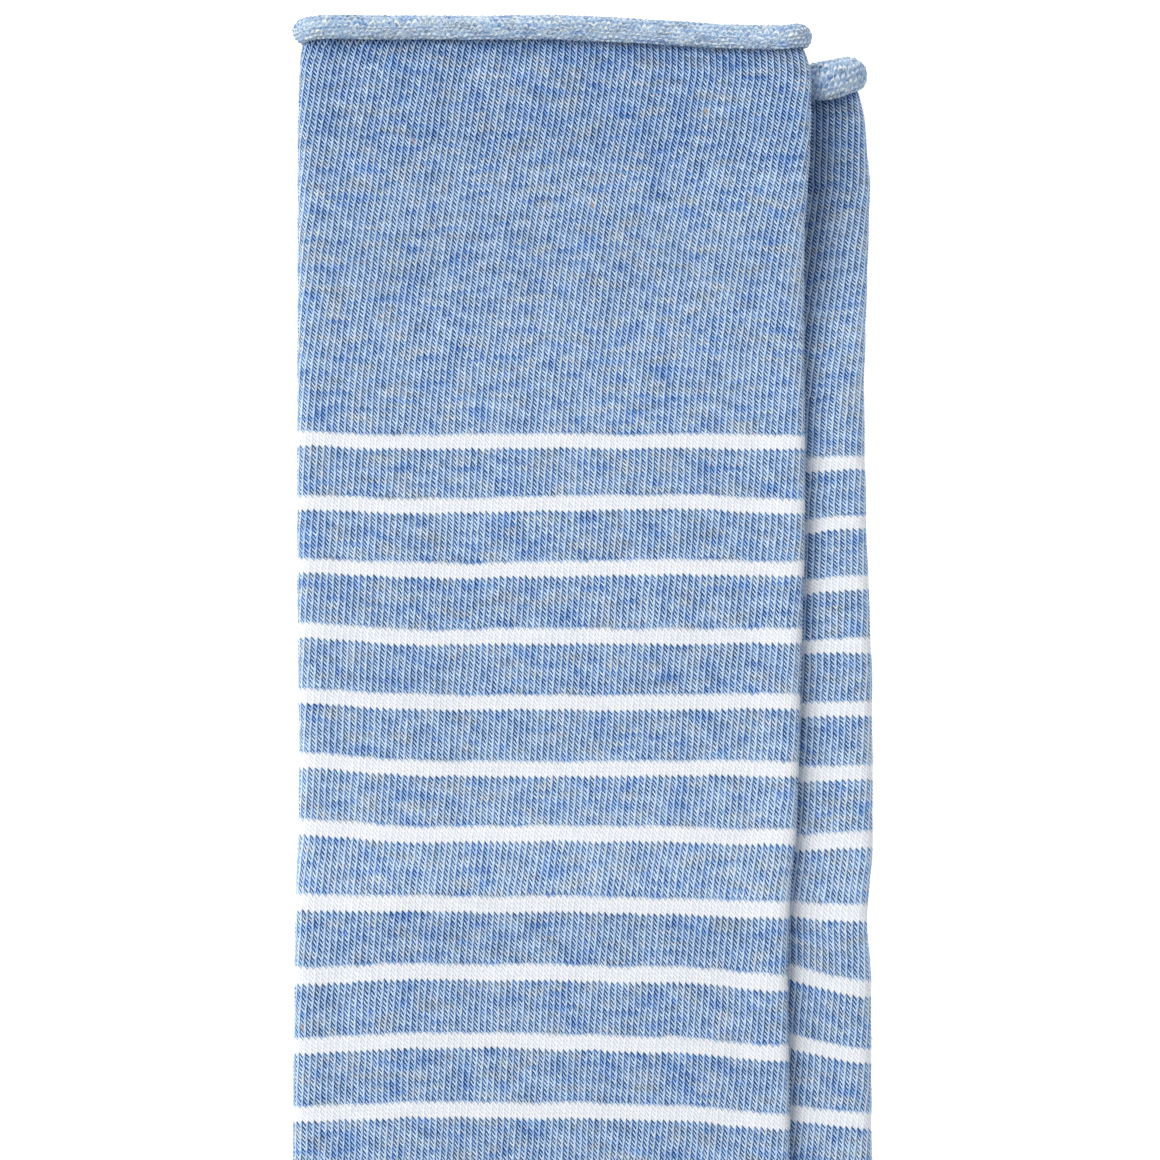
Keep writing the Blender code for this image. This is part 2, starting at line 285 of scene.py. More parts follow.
def ring_points(section, wales, inset, base):
    """The points of one ring at the given wales, and the way out of the cloth at each."""
    straight = section.half_width - min(FOLD_RADIUS, section.half_width)
    radius = section.half_width - straight
    loop = math.pi * radius
    perimeter = 4 * straight + 2 * loop
    s = np.mod(wales / WALES, 1) * perimeter
    in_left = np.clip((s - straight) / loop, 0, 1)
    in_right = np.clip((s - 3 * straight - loop) / loop, 0, 1)
    angle = -math.pi / 2 + math.pi * in_left - math.pi * in_right
    on_top = np.clip(s - straight - loop, 0, 2 * straight) - straight
    across = np.where(s < straight, -s, np.where(s > 3 * straight + 2 * loop, perimeter - s, on_top))
    side = np.where((in_left > 0) & (in_left < 1), -1, np.where((in_right > 0) & (in_right < 1), 1, 0))
    across = across + side * (radius - inset) * np.cos(angle)

    share = across / max(section.half_width, 0.01)
    dip = glide(share, section.dips) + section.fall * np.clip(share / FALL_REACH, 0, 1) ** FALL_POWER
    plan = section.centre + across[:, None] * section.across + dip[:, None] * section.ahead
    rise = smooth_step((np.abs(across) - straight + FOLD_REACH) / FOLD_REACH)
    half = HALF_THICKNESS + (FOLD_RADIUS - HALF_THICKNESS) * rise
    level = (half - inset) * np.sin(angle) * section.height
    z = half + level + base(plan[:, 0], plan[:, 1])
    out = np.concatenate([(side * np.cos(angle))[:, None] * section.across, np.sin(angle)[:, None]], axis=1)
    return np.column_stack([plan, z]), unit(out)


def columns_at(section, per_wale):
    """The columns of the mesh as wales round this section, moved by the lean of the knit."""
    return np.arange(WALES * per_wale + 1) / per_wale - section.lean


def on_table(x, y):
    return np.zeros_like(x)


points, _ = ring_points(leg_section(FRONT, 100), columns_at(leg_section(FRONT, 100), 1), 0, on_table)
print("a ring at the front leg is", np.round(np.ptp(points, axis=0), 1), "mm across, along and high")

# %% [markdown]
# ## How the socks rest on each other
#
# The back sock lies on the table. The roll under its mouth holds the end of the leg up by its own height,
# and the cloth comes down from it in a gentle slope. The front sock lies on the back one, over the hump of
# its roll. Cloth can't bend sharply, so the front sock rests on a smoothed height map: every point of
# the lower sock pushes up a shallow dome, and the highest domes together make the bed.

# %% The bed of each sock
CELL = 1.0
MAP_MARGIN = 45  # cells
DRAPE_REACH = 42  # cells
DRAPE_CLEARANCE = 0.5
BEND_RADIUS = 80.0
EASING = 4  # cells


def mouth_lift(sock):
    def base(x, y):
        below = (-y - sock.mouth.down) / MOUTH_LIFT_LENGTH
        return 2 * ROLL_RADIUS * (1 - smooth_step(below))
    return base


def draped_over(points):
    corner = points[:, :2].min(axis=0) - MAP_MARGIN * CELL
    cells = np.round((points[:, :2] - corner) / CELL).astype(int)
    heights = np.full(cells.max(axis=0) + MAP_MARGIN, -np.inf)
    np.maximum.at(heights, (cells[:, 0], cells[:, 1]), points[:, 2])
    for axis in (0, 1):
        heights = np.max([
            np.roll(heights, step, axis) - (step * CELL) ** 2 / (2 * BEND_RADIUS)
            for step in range(-DRAPE_REACH, DRAPE_REACH + 1)
        ], axis=0)
    heights = np.maximum(heights + DRAPE_CLEARANCE, 0)
    for axis in (0, 1, 0, 1):
        heights = np.mean([np.roll(heights, step, axis) for step in range(-EASING, EASING + 1)], axis=0)

    def base(x, y):
        i, in_x = np.divmod((x - corner[0]) / CELL, 1)
        j, in_y = np.divmod((y - corner[1]) / CELL, 1)
        i, j = i.astype(int), j.astype(int)
        near = heights[i, j] * (1 - in_x) + heights[i + 1, j] * in_x
        far = heights[i, j + 1] * (1 - in_x) + heights[i + 1, j + 1] * in_x
        return near * (1 - in_y) + far * in_y
    return base


# %% [markdown]
# ## The mouth and its roll
#
# Plain jersey curls towards its knit face at a raw edge. At each wale of the mouth the cloth comes round in
# a half turn, then in a tighter half turn, and ends just above the leg. The roll is never even, so its
# radius and its place wander a little from wale to wale.

# %% The spiral of the rolled edge
MouthFrame = namedtuple("MouthFrame", "points along out")
ROLL_ROWS = 60
ROLL_COURSES = 14
OPENING_START, OPENING_LENGTH = 9, 7  # from the right fold, where a sprung roll widens
RADIUS_WANDER = 0.06
PLACE_WANDER = 0.07


def mouth_frame(sock, base, wales):
    """At each wale of the mouth, the middle of the cloth, the way on past it and the way out of the sock."""
    mouth = leg_section(sock, sock.mouth.down)
    slope = leg_section(sock, sock.mouth.down + MOUTH_SLOPE_LENGTH)
    slope = slope._replace(half_width=mouth.half_width)
    places = wales - mouth.lean
    here, _ = ring_points(mouth, places, WALL / 2, base)
    below, _ = ring_points(slope, places, WALL / 2, base)
    near, _ = ring_points(mouth, places - 0.5, WALL / 2, base)
    far, _ = ring_points(mouth, places + 0.5, WALL / 2, base)
    across = far - near
    out = np.cross(across, here - below)
    return MouthFrame(here, unit(np.cross(out, across)), unit(out))


def ripple(wales, seed, longest):
    """A smooth wander round the mouth, from -1 to 1 or so, that joins up with itself."""
    chance = np.random.default_rng(seed)
    total = np.zeros_like(wales)
    for waves in range(2, WALES // longest):
        height = chance.normal() / waves**0.7
        total += height * np.sin(2 * math.pi * (waves * wales / WALES + chance.random()))
    return total / 2


def roll_surface(sock, base, wales):
    """Rows of points round the spiral for each wale, and the way out of the roll at each."""
    mouth = mouth_frame(sock, base, wales)
    on_top = (1 + mouth.out[:, 2]) / 2
    right_fold = smooth_step((mouth.points[:, 0] - sock.edges[0].right + OPENING_START) / OPENING_LENGTH)
    radius = ROLL_RADIUS + (sock.opened_radius - ROLL_RADIUS) * right_fold * on_top
    radius += RADIUS_WANDER * ripple(wales, sock.seed, 14) * on_top
    shift = PLACE_WANDER * ripple(wales, sock.seed + 1, 9) * on_top
    rows, outs = [], []
    for turn in np.linspace(0, 2 * math.pi, ROLL_ROWS + 1):
        half_turns = turn / math.pi
        tightened = smooth_step((half_turns - 0.85) / 0.3)
        r = radius - ROLL_TIGHTENING * tightened
        spread = smooth_step((half_turns - 1) / 0.5) * smooth_step((2 - half_turns) / 0.5)
        reach = r + ROLL_SPREAD * spread
        along = math.sin(turn) * (reach + WALL / 2) + CLEARANCE / 2 + shift * math.sin(turn / 2)
        out = 2 * radius - r - math.cos(turn) * (r + WALL / 2)
        rows.append(mouth.points + along[:, None] * mouth.along + out[:, None] * mouth.out)
        outs.append(math.sin(turn) * mouth.along - math.cos(turn) * mouth.out)
    return np.array(rows), np.array(outs)


# %% [markdown]
# ## Creases and the relief of the wales
#
# A flat sock still has soft swells where it was folded and pressed. They are listed as shallow
# ridges and troughs, each with its own line, width and depth. The wales stand up as fine ribs, and two
# columns of the mesh to each wale are enough to raise them: one on the rib and one in the furrow.

# %% Soft creases, one by one
Crease = namedtuple("Crease", "x down angle length width height")
CREASE_BOW = 0.004  # how much a crease curves
FRONT_CREASES = rows_of(
    Crease,
    (-2, 142.5, -1, 95, 6.5, 0.55),
    (-6, 151, 2, 80, 5, -0.30),
    (14, 24, 12, 45, 5, -0.25),
    (-22, 46, 74, 38, 6, -0.22),
    (20, 96, 8, 34, 5, 0.20),
    (-14, 116, -10, 40, 6, -0.22),
    (10, 168, 14, 50, 5, 0.30),
    (-70, 214, 50, 40, 5, -0.45),
    (-58, 205, 22, 30, 4, 0.40),
    (-84, 250, 80, 60, 7, -0.30),
    (20, 222, -40, 34, 6, -0.35),
)
BACK_CREASES = rows_of(
    Crease,
    (48, 144, -6, 16, 2.6, -0.60),
    (46, 152, 12, 18, 3.2, 0.45),
    (44, 60, 80, 40, 3.5, -0.20),
    (46, 104, 15, 16, 4, 0.25),
    (10, 120, 6, 60, 6, -0.25),
    (-52, 214, 50, 40, 5, -0.45),
    (36, 226, -42, 30, 6, -0.35),
)


def crease_height(creases, points):
    """The height of all the creases together at each point."""
    total = np.zeros(len(points))
    for crease in creases:
        angle = math.radians(crease.angle)
        x, y = points[:, 0] - crease.x, points[:, 1] + crease.down
        along = x * math.cos(angle) + y * math.sin(angle)
        across = y * math.cos(angle) - x * math.sin(angle)
        bow = across + CREASE_BOW * along**2
        total += crease.height * np.exp(-((bow / crease.width) ** 2) - (along / crease.length * 2) ** 2)
    return total


print("creases:", len(FRONT_CREASES), "on the front sock and", len(BACK_CREASES), "on the back one")


# %% [markdown]
# ## Knitting the tube
#
# The tube starts as a flat grid that is laid on the sock's form row by row. Its UV map holds the numbers of
# the wale and the course, so a material can draw each stitch in its own place, however the cloth is turned.
# The side seam of the grid is merged, the tip of the toe is filled, and Solidify gives the wall its
# thickness. The mouth stays open.

# %% Rows of the tube from the mouth to the tip of the toe
PER_WALE = 2
SLACK_ENDS = 12  # rows over which the slack fades out above the heel
MOUTH_ROWS = (0.15, 0.9, 1.8, 2.8, 4.0, 5.4, 7.0)
LEG_STEP = 3.1
TURN_ROWS = 26
FOOT_ROWS = 24
TOE_ROWS = 18
TOE_GAP = 0.12  # rows from the last ring to the very tip
RIB_HEIGHT = 0.055


def tube_sections(sock):
    mouth, ankle = sock.mouth.down, sock.edges[-1].down
    steps = round((ankle - mouth - MOUTH_ROWS[-1]) / LEG_STEP)
    downs = [mouth + d for d in MOUTH_ROWS]
    downs += list(np.linspace(mouth + MOUTH_ROWS[-1], ankle, steps + 1)[1:])
    sections = [leg_section(sock, down) for down in downs]
    sections += [turn_section(sock, i / TURN_ROWS) for i in range(1, TURN_ROWS + 1)]
    sections += [foot_section(sock, FOOT_LENGTH * i / FOOT_ROWS) for i in range(1, FOOT_ROWS + 1)]
    for i in range(1, TOE_ROWS + 1):
        sections.append(toe_section(sock, math.sin(math.pi / 2 * i / (TOE_ROWS + TOE_GAP))))
    return sections, len(downs)


for sock in (FRONT, BACK):
    sections, leg_rows = tube_sections(sock)
    print(sock.name, "tube:", len(sections), "rows, of which", leg_rows, "down the leg")

# %% Turn a grid into cloth
TIP_REACH = 12.0  # well past the hole at the tip of the toe, and far short of the mouth
MERGE_REACH = 0.0002  # only points that coincide


def new_grid(name, columns, rows):
    """A flat grid with its UV map, and the column and row of each vertex."""
    bpy.ops.object.select_all(action="DESELECT")
    bpy.ops.mesh.primitive_grid_add(x_subdivisions=columns, y_subdivisions=rows, size=1)
    grid = bpy.context.object
    grid.name = grid.data.name = name
    places = np.empty(len(grid.data.vertices) * 3)
    grid.data.vertices.foreach_get("co", places)
    places = places.reshape(-1, 3)
    column = np.round((places[:, 0] + 0.5) * columns).astype(int)
    row = np.round((0.5 - places[:, 1]) * rows).astype(int)
    return grid, column, row


def shape_grid(grid, points):
    grid.data.vertices.foreach_set("co", (points * MM + SHIFT).ravel())
    grid.data.update()


def number_stitches(grid, wale, course):
    """Writes the wale and course of each corner of each face into the UV map."""
    uv = np.column_stack([wale, course])
    grid.data.uv_layers[0].data.foreach_set("uv", uv.ravel())


def vertex_at_corners(grid):
    corners = np.empty(len(grid.data.loops), int)
    grid.data.loops.foreach_get("vertex_index", corners)
    return corners


def make_active(piece):
    bpy.ops.object.select_all(action="DESELECT")
    piece.select_set(True)
    bpy.context.view_layer.objects.active = piece


def close_up(grid, tip):
    """Merges the side seam, fills the hole round the tip, if there is one, and turns the faces outwards."""
    make_active(grid)
    bpy.ops.object.mode_set(mode="EDIT")
    bpy.ops.mesh.select_mode(type="VERT")
    bpy.ops.mesh.select_all(action="SELECT")
    bpy.ops.mesh.remove_doubles(threshold=MERGE_REACH * MM)
    bpy.ops.mesh.select_all(action="DESELECT")
    if tip is not None:
        bpy.ops.mesh.select_non_manifold(extend=False)
        bpy.ops.object.mode_set(mode="OBJECT")
        for vertex in grid.data.vertices:
            vertex.select = vertex.select and math.dist(vertex.co, tip) < TIP_REACH * MM
        for edge in grid.data.edges:
            edge.select = all(grid.data.vertices[i].select for i in edge.vertices)
        bpy.ops.object.mode_set(mode="EDIT")
        bpy.ops.mesh.edge_face_add()
        bpy.ops.mesh.poke()
    bpy.ops.mesh.select_all(action="SELECT")
    bpy.ops.mesh.normals_make_consistent(inside=False)
    bpy.ops.object.mode_set(mode="OBJECT")


def thicken(cloth):
    """Gives the cloth its wall, inwards from the face."""
    wall = cloth.modifiers.new("wall", "SOLIDIFY")
    wall.thickness = WALL * MM
    wall.offset = -1
    wall.use_quality_normals = True
    make_active(cloth)
    bpy.ops.object.modifier_apply(modifier=wall.name)
    bpy.ops.object.shade_smooth()


print("grids, walls and seams have their helpers")

# %% Find where the layout lies in the row's frame
def outline_corner(sock):
    """The lowest x and y that the sock reaches in the layout."""
    sections, _ = tube_sections(sock)
    rings = [ring_points(s, columns_at(s, PER_WALE), 0, on_table)[0] for s in sections]
    return np.concatenate(rings).min(axis=0)


front_low, back_low = outline_corner(FRONT), outline_corner(BACK)
front_box, back_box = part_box("front_sock"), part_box("back_sock")
SHIFT = np.array([front_box[0][0] - front_low[0] * MM, back_box[0][1] - back_low[1] * MM, 0.0])
print("the layout is moved by", np.round(SHIFT * 1000, 2), "mm")

# %% [markdown]
# The heel is a pocket on one half of the needles. Its extra courses go down from the leg and up from the
# foot, and meet on a slant, the gore line. So in the pocket a course number depends on how far out
# a stitch lies as well as on its row. The toe is a pocket too, and its wales keep their width and run out at
# the folds.

# %% Number the stitches of a tube
def stitch_numbers(sections, leg_rows, wale, row, face_wale, face_row, across):
    """The wale and course of each corner, and whether its face has stripes."""
    gore, foot_start = leg_rows - 1 + TURN_ROWS / 2, leg_rows - 1 + TURN_ROWS
    toe_start = foot_start + FOOT_ROWS
    lean = sections[-1].lean
    on_heel_half = np.mod(face_wale - lean, WALES) > WALES / 2
    turned_by = np.clip((row - leg_rows + 1) / TURN_ROWS, 0, 1) * TURN
    course = np.array([section.course for section in sections])[row]
    turning = (face_row > leg_rows - 1) & (face_row < foot_start)
    from_leg = across * np.sin(turned_by) / FOOT_COURSE_HEIGHT
    from_foot = -across * np.sin(TURN - turned_by) / FOOT_COURSE_HEIGHT
    extra = np.where(face_row < gore, from_leg, from_foot)
    in_heel = turning & on_heel_half
    course = course + np.where(in_heel & (across > 0), extra, 0)

    in_toe = face_row > toe_start
    top_middle = lean + WALES / 2
    on_top = np.abs(np.mod(face_wale - top_middle + WALES / 2, WALES) - WALES / 2) < WALES / 4
    full = 4 * sections[-TOE_ROWS - 1].half_width / WALES
    bottom_side = np.where(face_wale > top_middle, WALES, 0) + lean
    toe_wale = np.where(on_top, top_middle + across / full, bottom_side - across / full)
    return np.where(in_toe, toe_wale, wale), course, ~in_heel & ~in_toe


# %% Knit a tube
FOLD_HIGHLIGHT_REACH = 2.0  # how far in from a fold the painted highlight reaches
LEFT_HIGHLIGHT = 0.3  # of the right fold's painted highlight
GORE_DEPTH = 0.22
TOE_SEAM_HEIGHT = 0.5
SEAM_END = 0.03  # of the way round, over which a seam fades out
SLACK_WAVES = (0.045, 0.015)  # of one and of two waves round the leg


def on_arc(ring_place, start, end, fade_in):
    """1 along a part of the way round and 0 beyond it."""
    return smooth_step((ring_place - start) / fade_in) * smooth_step((end - ring_place) / SEAM_END)


def seam_relief(i, leg_rows, ring_place):
    """The gore line across the heel half, and the seam that closes the toe across the instep half."""
    gore_row, toe_row = leg_rows - 1 + TURN_ROWS // 2, leg_rows - 1 + TURN_ROWS + FOOT_ROWS
    if i == gore_row:
        return -GORE_DEPTH * on_arc(ring_place, 0.52, 0.72, 0.06)
    if i == toe_row:
        return TOE_SEAM_HEIGHT * on_arc(ring_place, 0.24, 0.53, 0.03)
    return np.zeros_like(ring_place)


def slack(wales):
    """How far the wales have slid round the leg, so that they lie wider at the sides of the top panel."""
    place = 2 * math.pi * wales / WALES
    once, twice = SLACK_WAVES
    return -WALES * (once * np.sin(place) + twice * np.sin(2 * place)) / (2 * math.pi)


def knitted_tube(sock, base, creases):
    sections, leg_rows = tube_sections(sock)
    grid, column, row = new_grid(sock.name + "_sock_knit", WALES * PER_WALE, len(sections) - 1)
    surface = np.empty((len(grid.data.vertices), 3))
    across, fold_highlight = np.empty(len(surface)), np.empty(len(surface))
    for i, section in enumerate(sections):
        here = np.nonzero(row == i)[0]
        wales = column[here] / PER_WALE - section.lean
        wales = wales + slack(wales) * smooth_step((leg_rows - i) / SLACK_ENDS)
        points, out = ring_points(section, wales, 0, base)
        across[here] = (points[:, :2] - section.centre) @ section.across
        # A painted highlight along both folds, strongest at the right fold, which faces away from the lamp
        to_fold = (section.half_width - np.abs(across[here])) / FOLD_HIGHLIGHT_REACH
        fold_highlight[here] = smooth_step(1 - to_fold) * np.where(across[here] > 0, 1.0, LEFT_HIGHLIGHT)
        rib = RIB_HEIGHT * np.cos(2 * math.pi * column[here] / PER_WALE)
        points += out * np.where(out[:, 2] < -0.2, np.minimum(rib, 0), rib)[:, None]
        swell = crease_height(creases, points) + seam_relief(i, leg_rows, np.mod(wales / WALES, 1))
        points[:, 2] += swell * np.clip(out[:, 2], 0, 1) * section.height
        surface[here] = points
    shape_grid(grid, surface)

    corners = vertex_at_corners(grid)
    face_wale = np.repeat(column[corners].reshape(-1, 4).mean(axis=1), 4) / PER_WALE
    face_row = np.repeat(row[corners].reshape(-1, 4).mean(axis=1), 4)
    wale, course, has_stripes = stitch_numbers(
        sections, leg_rows, column[corners] / PER_WALE, row[corners], face_wale, face_row, across[corners]
    )
    number_stitches(grid, wale, course)
    striped = grid.data.attributes.new("striped", "FLOAT", "FACE")
    striped.data.foreach_set("value", has_stripes[::4].astype(np.float32))
    fold = grid.data.attributes.new("fold", "FLOAT", "POINT")
    fold.data.foreach_set("value", fold_highlight.astype(np.float32))
    close_up(grid, surface[row == len(sections) - 1].mean(axis=0) * MM + SHIFT)
    thicken(grid)
    return grid


back_base = mouth_lift(BACK)
back_tube = knitted_tube(BACK, back_base, BACK_CREASES)
print("back tube:", len(back_tube.data.polygons), "faces")

# %% Knit a roll
PURL_HEIGHT = 0.22
PURL_WANDER = 0.8  # courses
PURL_SWING = 0.5  # courses that a crescent drops at its ends
PURL_THIN = 6.4  # a crescent takes 2 / 6.4 of the two courses between it and the next
PURL_BOW = 2.4  # how fast a crescent fades towards its ends
ROLL_PER_STITCH = 4


def purl_relief(wale, course):
    """The bumps of the knit's back: rows of crescents, each row half a wale aside from the next."""
    crescents = np.zeros_like(wale)
    for shift in (0, 1):
        aside = np.mod(wale + shift / 2, 1) - 0.5
        phase = (course + shift - 4 * aside**2 * PURL_SWING) / 2
        line = np.maximum(1 - ((np.mod(phase, 1) - 0.5) * PURL_THIN) ** 2, 0)
        crescents = np.maximum(crescents, line * (1 - PURL_BOW * aside**2))
    return crescents


def knitted_roll(sock, base):
    dense = np.linspace(0, WALES, WALES * 8 + 1)
    crest = roll_surface(sock, base, dense)[0][ROLL_ROWS // 2]
    length = np.concatenate([[0], np.cumsum(np.linalg.norm(np.diff(crest, axis=0), axis=1))])
    stitches = round(length[-1] / WALE_WIDTH)
    columns = stitches * ROLL_PER_STITCH
    wales = np.interp(np.linspace(0, length[-1], columns + 1), length, dense)
    grid, column, row = new_grid(sock.name + "_roll_knit", columns, ROLL_ROWS)
    rows, outs = roll_surface(sock, base, wales)
    place = np.arange(columns + 1) / ROLL_PER_STITCH
    wander = PURL_WANDER * ripple(wales, sock.seed + 2, 3)
    courses = np.linspace(0, ROLL_COURSES, ROLL_ROWS + 1)
    relief = np.array([purl_relief(place, course + wander) for course in courses])
    rows = rows + outs * (PURL_HEIGHT * (relief - 0.5))[:, :, None]
    rows[..., 2] = np.maximum(rows[..., 2], 0)
    shape_grid(grid, rows[row, column])
    corners = vertex_at_corners(grid)
    number_stitches(grid, column[corners] / ROLL_PER_STITCH, row[corners] * ROLL_COURSES / ROLL_ROWS)
    close_up(grid, None)
    thicken(grid)
    return grid


back_roll = knitted_roll(BACK, back_base)
print("back roll:", len(back_roll.data.polygons), "faces")

# %% Lay the front sock on the back one
def top_points(tube, roll):
    points = [np.array([v.co[:] for v in piece.data.vertices]) for piece in (tube, roll)]
    return (np.concatenate(points) - SHIFT) / MM


front_base = draped_over(top_points(back_tube, back_roll))
front_tube = knitted_tube(FRONT, front_base, FRONT_CREASES)
front_roll = knitted_roll(FRONT, front_base)
print("front tube and roll:", len(front_tube.data.polygons), len(front_roll.data.polygons), "faces")

# %% [markdown]
# ## Loose fibres
#
# Spun cotton is hairy. Against a white table the ends of its fibres blur the outline of the cloth, most
# of all on the rolls. A fibre is a spindle with three sides that bends as it leaves the cloth. One small
# grid is repeated by an Array, and each copy is then laid out as a fibre, so that a few thousand of them
# are one piece.

# %% Fibres along the folds and on the roll
FOLD_FIBRES = 1700  # of each sock
ROLL_FIBRES = 2300
FIBRE_SHAPE = (0.0, 1.0, 0.8, 0.0)  # how thick it is from its root to its tip
FIBRE_RADIUS = 0.028
FIBRE_LENGTHS = (0.4, 1.3)
FIBRE_BENDS = (0.1, 0.6)
FIBRE_SCATTER = 0.55
FOLD_SCATTER = 0.004  # of the way round
ROOT_DEPTH = 0.15
LOWEST_FIBRE = 0.03
FIRST_ROW, LAST_ROW = round(ROLL_ROWS * 0.14), round(ROLL_ROWS * 0.86)  # of the roll, with fibres


def fold_roots(sock, base, chance):
    """Places along both folds of a sock, and the way out of the cloth at each."""
    sections, _ = tube_sections(sock)
    roots, outs = [], []
    for section in sections[:-2]:
        around = np.where(chance.random(FOLD_FIBRES // len(sections)) < 0.5, 0.25, 0.75)
        around = around + chance.normal(0, FOLD_SCATTER, len(around))
        points, out = ring_points(section, around * WALES, 0, base)
        points[:, :2] += section.ahead * (chance.random((len(around), 1)) - 0.5) * LEG_STEP
        roots.append(points)
        outs.append(out)
    return np.concatenate(roots), np.concatenate(outs)


def roll_roots(sock, base, chance):
    rows, outs = roll_surface(sock, base, np.linspace(0, WALES, WALES * 4))
    i = chance.integers(FIRST_ROW, LAST_ROW, ROLL_FIBRES)
    j = chance.integers(0, WALES * 4, ROLL_FIBRES)
    return rows[i, j], outs[i, j]


def loose_fibres(sock, base):
    chance = np.random.default_rng(sock.seed + 70)
    fold, roll = fold_roots(sock, base, chance), roll_roots(sock, base, chance)
    roots, outs = np.concatenate([fold[0], roll[0]]), np.concatenate([fold[1], roll[1]])
    count = len(roots)
    grid, column, row = new_grid(sock.name + "_fibres", 3, 3)
    copies = grid.modifiers.new("copies", "ARRAY")
    copies.count = count
    copies.use_relative_offset = False
    bpy.ops.object.modifier_apply(modifier=copies.name)

    way = unit(outs + chance.normal(0, FIBRE_SCATTER, (count, 3)))
    side = unit(np.cross(way, chance.normal(0, 1, (count, 3))))
    other = np.cross(way, side)
    length = chance.uniform(*FIBRE_LENGTHS, count)[:, None]
    bend = side * chance.uniform(*FIBRE_BENDS, count)[:, None]
    spots = np.empty((count, len(row), 3))
    for vertex in range(len(row)):
        along = row[vertex] / 3
        angle = 2 * math.pi * column[vertex] / 3
        thick = FIBRE_RADIUS * FIBRE_SHAPE[row[vertex]]
        middle = roots - outs * ROOT_DEPTH + length * (way * along + bend * along**2)
        spots[:, vertex] = middle + thick * (side * math.cos(angle) + other * math.sin(angle))
    spots[:, :, 2] = np.maximum(spots[:, :, 2], LOWEST_FIBRE)
    shape_grid(grid, spots.reshape(-1, 3))
    close_up(grid, None)
    bpy.ops.object.shade_smooth()
    return grid


back_fibres = loose_fibres(BACK, back_base)
front_fibres = loose_fibres(FRONT, front_base)
print("fibres:", len(back_fibres.data.polygons), "and", len(front_fibres.data.polygons), "faces")

# %% [markdown]
# ## Shader maths that reads like maths
#
# The stitches are drawn by arithmetic on the wale and course numbers. A small class wraps a socket so that
# Python's own operators add the Math nodes, and its node method adds any other node.

# %% A socket that can be added, multiplied and compared
def maths(operation):
    """A method that adds this Math node for the signal and, where there is one, another value."""
    def method(self, *others):
        return self.node("ShaderNodeMath", {"operation": operation}, dict(enumerate((self, *others))))
    return method


class Signal:
    """An output socket of a material's nodes."""

    __add__ = __radd__ = maths("ADD")
    __sub__ = maths("SUBTRACT")
    __mul__ = __rmul__ = maths("MULTIPLY")
    __truediv__ = maths("DIVIDE")
    __pow__ = maths("POWER")
    __gt__ = maths("GREATER_THAN")
    at_least = maths("MAXIMUM")
    floor = maths("FLOOR")
    fraction = maths("FRACT")
    cosine = maths("COSINE")

    def __init__(self, tree, socket):
        self.tree = tree
        self.socket = socket

    def node(self, kind, settings, inputs, output=0):
        """Adds a node, sets it up, fills its sockets with values or links and gives one of its outputs."""
        made = self.tree.nodes.new(kind)
        for name, value in settings.items():
            setattr(made, name, value)
        for name, value in inputs.items():
            if isinstance(value, Signal):
                self.tree.links.new(value.socket, made.inputs[name])
            else:
                made.inputs[name].default_value = value
        return Signal(self.tree, made.outputs[output])

    def __rsub__(self, other):
        return self.node("ShaderNodeMath", {"operation": "SUBTRACT"}, {0: other, 1: self})

    def wave(self):
        """From 0 to 1 and back as the signal goes up by 1, with the crest at the half."""
        return 0.5 - 0.5 * (self * (2 * math.pi)).cosine()

    def clamped(self):
        return self.node("ShaderNodeClamp", {}, {"Value": self})

    def pick(self, low, high):
        """Low where the signal is 0 and high where it is 1."""
        return self.node("ShaderNodeMix", {"data_type": "FLOAT"}, {0: self, 2: low, 3: high})

    def colour(self, low, high):
        return self.node("ShaderNodeMix", {"data_type": "RGBA"}, {0: self, 6: low, 7: high}, output=2)

    def attribute(self, name):
        return self.node("ShaderNodeAttribute", {"attribute_name": name}, {}, output="Fac")

    def ramp(self, stops):
        made = self.node("ShaderNodeValToRGB", {}, {"Fac": self})
        elements = made.socket.node.color_ramp.elements
        elements.remove(elements[0])
        elements[0].position, elements[0].color = stops[0]
        for position, colour in stops[1:]:
            elements.new(position).color = colour
        return made


def linear(*colour):
    """A colour from the 0 to 255 of a picture, as light."""
    shares = [value / 255 for value in colour]
    return (*(s / 12.92 if s <= 0.04045 else ((s + 0.055) / 1.055) ** 2.4 for s in shares), 1)


def shades(*rows):
    """The stops of a colour ramp, each row a place on it and a colour."""
    return [(place, linear(*colour)) for place, *colour in rows]


def new_shader(name, values):
    """A new material, its shader with the given values, and a signal to start its nodes from."""
    material = bpy.data.materials.new(name)
    material.use_nodes = True
    shader = material.node_tree.nodes["Principled BSDF"]
    for socket, value in values.items():
        shader.inputs[socket].default_value = value
    return material, shader, Signal(material.node_tree, shader.outputs[0])


def paint(piece, material):
    piece.data.materials.clear()
    piece.data.materials.append(material)


print("a mid blue of the yarn as light:", [round(c, 3) for c in linear(118, 150, 192)[:3]])

# %% [markdown]
# ## The yarn
#
# Heather yarn is spun from fibres dyed apart, so its colour drifts along its length between deep
# blue, mid blue, pale blue and a grey beige. A course is knitted from one length of yarn, which is why the
# drift shows as short streaks along the courses and changes from one course to the next. Noise that is read
# at the wale along one axis and at the whole number of the course along the other does just that.

# %% Heather streaks along the courses
COURSES_APART = 7.31  # so far apart in the noise that two courses have nothing in common
COURSE_SHARE = 0.65  # the height of a course, in wales


def soft_noise(x, y, seed):
    place = x.node("ShaderNodeCombineXYZ", {}, {0: x, 1: y, 2: seed})
    settings, sockets = {"noise_dimensions": "3D"}, {"Vector": place, "Scale": 1.0, "Detail": 1.0}
    return place.node("ShaderNodeTexNoise", settings, sockets)


